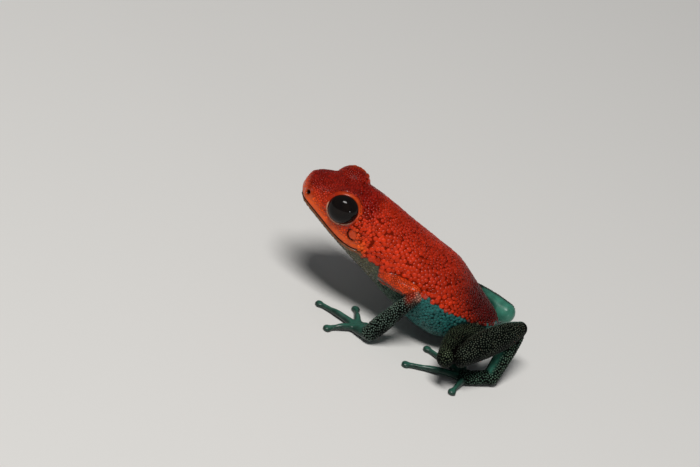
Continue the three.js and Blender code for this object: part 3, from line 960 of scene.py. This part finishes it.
def setColour(mesh, name, values):
    attribute = mesh.attributes.new(name, "FLOAT_COLOR", "POINT")
    rgba = np.ones((len(values), 4), np.float32)
    rgba[:, :3] = np.clip(values, 0, 1)
    attribute.data.foreach_set("color", rgba.ravel())


def setLayout(mesh, uv):
    # the flat layout that the looks are baked to, given for each corner of each face
    layer = mesh.uv_layers.new(name="OFBake")
    layer.data.foreach_set("uv", uv.astype(np.float32).ravel())


# Where granules grow, the skin's tone is darkened: painted shade in the grooves between them.
setColour(skinMesh, "tone", tone * (1 - markings["grooveShade"] * granular)[:, None])
setColour(skinMesh, "grainTone", tone)
setColour(skinMesh, "litTipTone", tone * tipLight[:, None] * (1 - paleShare) + tips * paleShare)
for name, values in grain.items():
    setFloat(skinMesh, name, values)
setFloat(skinMesh, "grainSize", np.where(np.isin(kind, ("thigh", "shank")), 0.82, 1.0))

# Each face is laid out by its first corner, so that none is drawn across a strip's seam.
corners = readIndices(skinMesh.loops, "vertex_index")
firstCorners = corners[readIndices(skinMesh.polygons, "loop_start")]
lead = np.repeat(firstCorners, readIndices(skinMesh.polygons, "loop_total"))
turn = read["turn"][corners]
turn = turn - np.round(turn - read["turn"][lead])
ownPlace = flatPlace({name: values[corners] for name, values in read.items()}, turn)
leadPlace = flatPlace({name: values[lead] for name, values in read.items()})
samePart = read["part"][corners] == read["part"][lead]
setLayout(skinMesh, np.clip(np.where(samePart[:, None], ownPlace, leadPlace), 0, 1))
shadeSmooth(skinMesh)

# Materials
finishes = {
    "skin": {"rough": 0.32, "wetness": 0.08, "specular": 0.26, "coat": 0.15, "mottle": 0.22, "bump": 0.5},
    "ground": {"rough": 0.60, "wetness": 0.05, "specular": 0.03, "coat": 0, "mottle": 0.22, "bump": 0.5},
    "granules": {"rough": 0.32, "wetness": 0.17, "specular": 0.17, "coat": 0, "mottle": 0.25, "bump": 0.2},
    "everywhere": {
        "Coat Roughness": 0.14,
        "Subsurface Weight": 0.05,
        "Subsurface Radius": (1.0, 0.25, 0.15),
        "Subsurface Scale": 0.15 * mm,
    },
    "bumpDistance": 0.012 * mm,
    "poreScale": 7000.0,
    "mottleScale": 1500.0,
}


def plainMaterial(name):
    material = bpy.data.materials.new(name)
    material.use_nodes = True
    return material, material.node_tree.nodes["Principled BSDF"]


def setInputs(node, values):
    for name, value in values.items():
        node.inputs[name].default_value = value


def noiseOf(tree, scale, detail=2):
    where = tree.nodes.new("ShaderNodeTexCoord")
    noise = tree.nodes.new("ShaderNodeTexNoise")
    setInputs(noise, {"Scale": scale, "Detail": detail})
    tree.links.new(where.outputs["Object"], noise.inputs["Vector"])
    return noise.outputs["Fac"]


def spreadOf(tree, noise, middle, reach):
    # the noise keeps to the middle of its range, and is spread to both sides of a value
    spread = tree.nodes.new("ShaderNodeMapRange")
    setInputs(spread, {"From Min": 0.3, "From Max": 0.7})
    setInputs(spread, {"To Min": middle - reach, "To Max": middle + reach})
    tree.links.new(noise, spread.inputs["Value"])
    return spread.outputs["Result"]


def skinFinish(name, toneName, finish):
    material, shader = plainMaterial(name)
    tree = material.node_tree
    tone = tree.nodes.new("ShaderNodeAttribute")
    tone.attribute_name = toneName
    mottle = noiseOf(tree, finishes["mottleScale"], 4)
    colour = tree.nodes.new("ShaderNodeVectorMath")
    colour.operation = "SCALE"
    pores = tree.nodes.new("ShaderNodeBump")
    setInputs(pores, {"Strength": finish["bump"], "Distance": finishes["bumpDistance"]})
    link = tree.links.new
    link(tone.outputs["Color"], colour.inputs[0])
    link(spreadOf(tree, mottle, 1, finish["mottle"]), colour.inputs["Scale"])
    link(colour.outputs[0], shader.inputs["Base Color"])
    link(noiseOf(tree, finishes["poreScale"], 3), pores.inputs["Height"])
    link(pores.outputs[0], shader.inputs["Normal"])
    link(spreadOf(tree, mottle, finish["rough"], finish["wetness"]), shader.inputs["Roughness"])
    setInputs(shader, {"Specular IOR Level": finish["specular"], "Coat Weight": finish["coat"]})
    setInputs(shader, finishes["everywhere"])
    return material


skin = newPiece("skin", skinMesh)
skinMesh.materials.clear()
skinMesh.materials.append(skinFinish("moist skin", "tone", finishes["skin"]))
skinMesh.materials.append(skinFinish("ground of the granules", "tone", finishes["ground"]))
isMatte = (granular > 0.5) | (hollowShade > 0.4)
skinMesh.polygons.foreach_set("material_index", isMatte[firstCorners].astype(np.int32))
grainMaterial = skinFinish("granules", "grainTone", finishes["granules"])

# Granules: small domes set over the skin, each rooted in it.
coats = {
    "flank granules": {
        "share": "grainFlank",
        "dome": {"sides": 8, "rings": 3},
        "seed": 13,
        "sizes": {"Spacing": 0.3, "Density": 150.0, "Radius": (0.23, 0.30), "Height": (0.07, 0.105)},
    },
    "back granules": {
        "share": "grainBack",
        "dome": {"sides": 7, "rings": 3},
        "seed": 3,
        "sizes": {"Spacing": 0.225, "Density": 220.0, "Radius": (0.165, 0.22), "Height": (0.05, 0.085)},
    },
    "head granules": {
        "share": "grainHead",
        "dome": {"sides": 7, "rings": 2},
        "seed": 5,
        "sizes": {"Spacing": 0.17, "Density": 350.0, "Radius": (0.1, 0.14), "Height": (0.02, 0.036)},
    },
    "limb granules": {
        "share": "grainLimb",
        "dome": {"sides": 6, "rings": 2},
        "seed": 7,
        "sizes": {"Spacing": 0.175, "Density": 300.0, "Radius": (0.07, 0.1), "Height": (0.03, 0.055)},
    },
    "belly granules": {
        "share": "grainBelly",
        "dome": {"sides": 7, "rings": 2},
        "seed": 9,
        "sizes": {"Spacing": 0.28, "Density": 120.0, "Radius": (0.13, 0.17), "Height": (0.025, 0.04)},
    },
}
domeProfiles = {  # radius and height of each ring, by the number of rings
    2: [(1.0, -0.5), (0.78, 0.6)],
    3: [(1.0, -0.5), (0.9, 0.4), (0.52, 0.88)],
}
grainLook = {
    "tintSpread": 0.22,  # how much one granule's shade differs from the next one's
    "footShade": 0.35,
    "layoutRadius": 0.0014,
}


def domeMesh(name, sides, rings):
    profile = domeProfiles[rings]
    points = [
        (radius * math.cos(angle), radius * math.sin(angle), height)
        for radius, height in profile
        for angle in (2 * math.pi * k / sides for k in range(sides))
    ]
    points.append((0, 0, 1))
    faces = [tuple(reversed(range(sides)))]
    for r in range(rings - 1):
        for k in range(sides):
            a, b = r * sides + k, r * sides + (k + 1) % sides
            faces.append((a, b, b + sides, a + sides))
    lastRing = (rings - 1) * sides
    for k in range(sides):
        faces.append((lastRing + k, lastRing + (k + 1) % sides, len(points) - 1))
    dome = newObject(name, points, faces)
    shadeSmooth(dome.data)
    return dome


def grainTree(name, shareName):
    tree = bpy.data.node_groups.new(name, "GeometryNodeTree")
    node, link, socket = tree.nodes.new, tree.links.new, tree.interface.new_socket
    socket("Skin", in_out="INPUT", socket_type="NodeSocketGeometry")
    socket("Dome", in_out="INPUT", socket_type="NodeSocketObject")
    sizes = ("Smallest Radius", "Largest Radius", "Smallest Height", "Largest Height")
    for title in ("Spacing", "Density", *sizes):
        socket(title, in_out="INPUT", socket_type="NodeSocketFloat")
    socket("Seed", in_out="INPUT", socket_type="NodeSocketInt")
    socket("Finish", in_out="INPUT", socket_type="NodeSocketMaterial")
    socket("Granules", in_out="OUTPUT", socket_type="NodeSocketGeometry")
    given = node("NodeGroupInput").outputs

    def attribute(title):
        named = node("GeometryNodeInputNamedAttribute")
        named.data_type = "FLOAT"
        named.inputs["Name"].default_value = title
        return named.outputs["Attribute"]

    def chance(offset, low, high):
        # a random number for each granule, with a seed of its own
        draw = node("FunctionNodeRandomValue")
        draw.data_type = "FLOAT"
        seed = node("ShaderNodeMath")
        seed.operation = "ADD"
        seed.inputs[1].default_value = offset
        link(given["Seed"], seed.inputs[0])
        link(seed.outputs[0], draw.inputs["Seed"])
        for limit, value in ((draw.inputs[2], low), (draw.inputs[3], high)):
            if isinstance(value, str):
                link(given[value], limit)
            else:
                limit.default_value = value
        return draw.outputs[1]

    scatter = node("GeometryNodeDistributePointsOnFaces")
    scatter.distribute_method = "POISSON"
    fed = {"Skin": "Mesh", "Spacing": "Distance Min", "Density": "Density Max", "Seed": "Seed"}
    for source, target in fed.items():
        link(given[source], scatter.inputs[target])
    link(attribute(shareName), scatter.inputs["Density Factor"])
    root = node("GeometryNodeStoreNamedAttribute")
    root.data_type = "FLOAT_VECTOR"
    root.domain = "POINT"
    root.inputs["Name"].default_value = "rootPlace"
    link(scatter.outputs["Points"], root.inputs["Geometry"])
    link(node("GeometryNodeInputPosition").outputs[0], root.inputs["Value"])
    drawn = node("ShaderNodeCombineXYZ")  # two widths and the height
    for axis, (offset, limits) in enumerate(((11, sizes[:2]), (23, sizes[:2]), (31, sizes[2:]))):
        link(chance(offset, *limits), drawn.inputs[axis])
    size = node("ShaderNodeVectorMath")
    size.operation = "SCALE"
    link(drawn.outputs[0], size.inputs[0])
    link(attribute("grainSize"), size.inputs["Scale"])
    spin = node("ShaderNodeCombineXYZ")
    link(chance(47, 0, 2 * math.pi), spin.inputs[2])
    turned = node("FunctionNodeRotateRotation")
    turned.rotation_space = "LOCAL"
    link(scatter.outputs["Rotation"], turned.inputs["Rotation"])
    link(spin.outputs[0], turned.inputs["Rotate By"])
    dome = node("GeometryNodeObjectInfo")
    link(given["Dome"], dome.inputs["Object"])
    setOut = node("GeometryNodeInstanceOnPoints")
    link(root.outputs["Geometry"], setOut.inputs["Points"])
    link(dome.outputs["Geometry"], setOut.inputs["Instance"])
    link(turned.outputs[0], setOut.inputs["Rotation"])
    link(size.outputs[0], setOut.inputs["Scale"])
    real = node("GeometryNodeRealizeInstances")
    link(setOut.outputs[0], real.inputs[0])
    finish = node("GeometryNodeSetMaterial")
    link(real.outputs[0], finish.inputs["Geometry"])
    link(given["Finish"], finish.inputs["Material"])
    link(finish.outputs[0], node("NodeGroupOutput").inputs[0])
    return tree


def grownMesh(name, settings, dome):
    given = {"Dome": dome, "Finish": grainMaterial, "Seed": settings["seed"]}
    for title, value in settings["sizes"].items():
        if isinstance(value, tuple):
            given["Smallest " + title], given["Largest " + title] = value
        else:
            given[title] = value
    modifier = skin.modifiers.new(name, "NODES")
    modifier.node_group = grainTree(name, settings["share"])
    for item in modifier.node_group.interface.items_tree:
        if item.in_out == "INPUT" and item.name in given:
            modifier[item.identifier] = given[item.name]
    mesh = evaluated(skin)
    skin.modifiers.remove(modifier)
    return mesh


def paintGranules(mesh, height, tint):
    # painted shade at the foot, and from there to the tip's own tone, which holds the painted light on the
    # top
    foot, tip = (readArray(mesh.attributes[name].data, "color", 4) for name in ("grainTone", "litTipTone"))
    shade = grainLook["footShade"]
    foot[:, :3] *= (shade + (1 - shade) * step(height, -0.3, 0.7))[:, None]
    foot += (tip - foot) * step(height, 0.1, 1.0)[:, None]
    foot[:, :3] *= tint[:, None]
    mesh.attributes["grainTone"].data.foreach_set("color", np.clip(foot, 0, 1).ravel())


def growCoat(name, settings):
    dome = domeMesh(name + " dome", **settings["dome"])
    mesh = grownMesh(name, settings, dome)
    unit = pointsOf(dome.data)
    removeObject(dome)
    roots = readArray(mesh.attributes["rootPlace"].data, "vector", 3)[:: len(unit)].astype(float)
    spread = grainLook["tintSpread"]
    tint = np.random.default_rng(settings["seed"]).uniform(1 - spread, 1 + spread, len(roots))
    paintGranules(mesh, np.tile(unit[:, 2], len(roots)), np.repeat(tint, len(unit)))
    spots = np.repeat(flatPlace(readPlaces(roots)), len(unit), axis=0)
    flat = spots + np.tile(unit[:, :2], (len(roots), 1)) * grainLook["layoutRadius"]
    while mesh.uv_layers:
        mesh.uv_layers.remove(mesh.uv_layers[0])
    setLayout(mesh, flat[readIndices(mesh.loops, "vertex_index")])
    for extra in (*grain, "grainSize", "tone", "litTipTone", "rootPlace"):
        if extra in mesh.attributes:
            mesh.attributes.remove(mesh.attributes[extra])
    triangles = sum(len(polygon.vertices) - 2 for polygon in mesh.polygons)
    print(name + ":", len(roots), "granules,", triangles, "triangles")
    return newPiece(name.replace(" ", "_"), mesh)


def toMetres(piece):
    setPoints(piece.data, (pointsOf(piece.data) + shift) * mm)


coatPieces = [growCoat(name, settings) for name, settings in coats.items()]
for piece in [skin] + coatPieces:
    toMetres(piece)
    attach(piece, "root")
limbNodes = ("upper_arm", "forearm", "hand", "thigh", "shank", "tarsus", "foot")
flesh = ["head", "torso"] + [label + "_" + node for label in limbs for node in limbNodes]
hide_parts(*flesh)
print("skin and granules finished")

# Eyes
eyeLook = {
    "columns": 64,
    "rows": 40,
    "colour": (0.003, 0.003, 0.004),
    "cloudColour": (0.012, 0.008, 0.006),
    "cloudScale": 1800,
    "finish": {"Roughness": 0.03, "IOR": 1.38, "Specular IOR Level": 0.22},
}
eyeMaterial, eyeShader = plainMaterial("eye")
eyeTree = eyeMaterial.node_tree
setInputs(eyeShader, eyeLook["finish"])
eyeRamp = eyeTree.nodes.new("ShaderNodeValToRGB")
for element, name in zip(eyeRamp.color_ramp.elements, ("colour", "cloudColour")):
    element.color = (*eyeLook[name], 1)
eyeTree.links.new(noiseOf(eyeTree, eyeLook["cloudScale"]), eyeRamp.inputs["Fac"])
eyeTree.links.new(eyeRamp.outputs["Color"], eyeShader.inputs["Base Color"])
for label, limb in limbs.items():
    centre = np.array(eyes["centre"]) * (limb["side"], 1, 1)
    ball = ballShape(eyes["radius"], centre, (eyes["flat"], 1, 1), eyeLook["columns"], eyeLook["rows"])
    eye = newObject("eye_" + label, *ball)
    turnOutwards(eye.data)
    shadeSmooth(eye.data)
    eye.data.materials.append(eyeMaterial)
    toMetres(eye)
    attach(eye, "root")
    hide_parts(label + "_eye")
print("eyes finished")

# Floor, lights and camera
studio = {
    "floorSize": 1.2,
    "floorColour": (0.80, 0.795, 0.78),
    "floorRoughness": 0.8,
    "worldColour": (0.80, 0.82, 0.86),
    "worldStrength": 0.10,
    "target": (0, 0, 0.006),
    "lights": {
        "key": {"at": (0.13, -0.03, 0.32), "size": (0.15, 0.085), "power": 0.95, "tint": (1.0, 0.98, 0.95)},
        "low": {"at": (0.23, 0.20, 0.03), "size": (0.03, 0.03), "power": 0.06, "tint": (0.95, 0.97, 1.0)},
    },
}
half = studio["floorSize"] / 2
floorCorners = [(x * half, y * half, 0) for x, y in ((-1, -1), (1, -1), (1, 1), (-1, 1))]
floor = newObject("floor", floorCorners, [(0, 1, 2, 3)])
floorMaterial, floorShader = plainMaterial("floor")
setInputs(floorShader, {"Base Color": (*studio["floorColour"], 1), "Roughness": studio["floorRoughness"]})
floor.data.materials.append(floorMaterial)
world = bpy.data.worlds.new("studio")
world.use_nodes = True
setInputs(
    world.node_tree.nodes["Background"],
    {"Color": (*studio["worldColour"], 1), "Strength": studio["worldStrength"]},
)
bpy.context.scene.world = world
bpy.context.scene.view_settings.view_transform = "Standard"
for name, lamp in studio["lights"].items():
    data = bpy.data.lights.new(name, "AREA")
    data.shape = "ELLIPSE"
    data.size, data.size_y = lamp["size"]
    data.energy = lamp["power"]
    data.color = lamp["tint"]
    light = newPiece(name, data)
    light.location = lamp["at"]
    light.rotation_euler = (Vector(studio["target"]) - light.location).to_track_quat("-Z", "Y").to_euler()

# The photo looks down on the left side, and the frog faces left and a little up.
view = {
    "azimuth": 88.6,
    "elevation": 34.4,
    "roll": 19.8,
    "distance": 264.0,
    "lens": 160.97,
    "picture": (700, 467),
    "sensor": 36.0,
    "aim": (4.75, 0.0, 0.8),  # the left wrist, and where the photo shows it
    "aimPixel": (368.5, 334.0),
}
azimuth, elevation, roll = (math.radians(view[name]) for name in ("azimuth", "elevation", "roll"))
flatReach = math.cos(elevation)
toCamera = Vector((math.sin(azimuth) * flatReach, -math.cos(azimuth) * flatReach, math.sin(elevation)))
level = Vector((0, 0, 1)).cross(toCamera).normalized()
upright = toCamera.cross(level)
right = level * math.cos(roll) + upright * math.sin(roll)
up = upright * math.cos(roll) - level * math.sin(roll)
pixelsPerUnit = view["lens"] / view["sensor"] * view["picture"][0]
fromMiddle = np.array(view["aimPixel"]) - np.array(view["picture"]) / 2
dx, dy = (fromMiddle / pixelsPerUnit * view["distance"]).tolist()
stand = Vector(view["aim"]) + toCamera * view["distance"] - right * dx + up * dy
cameraData = bpy.data.cameras.new("camera")
cameraData.lens = view["lens"]
cameraData.sensor_width = view["sensor"]
cameraData.sensor_fit = "HORIZONTAL"
cameraData.clip_start = 0.01
camera = newPiece("camera", cameraData)
turnMatrix = Matrix((right, up, toCamera)).transposed().to_4x4()
camera.matrix_world = Matrix.Translation((stand + Vector(shift)) * mm) @ turnMatrix
bpy.context.scene.camera = camera
print("studio set")
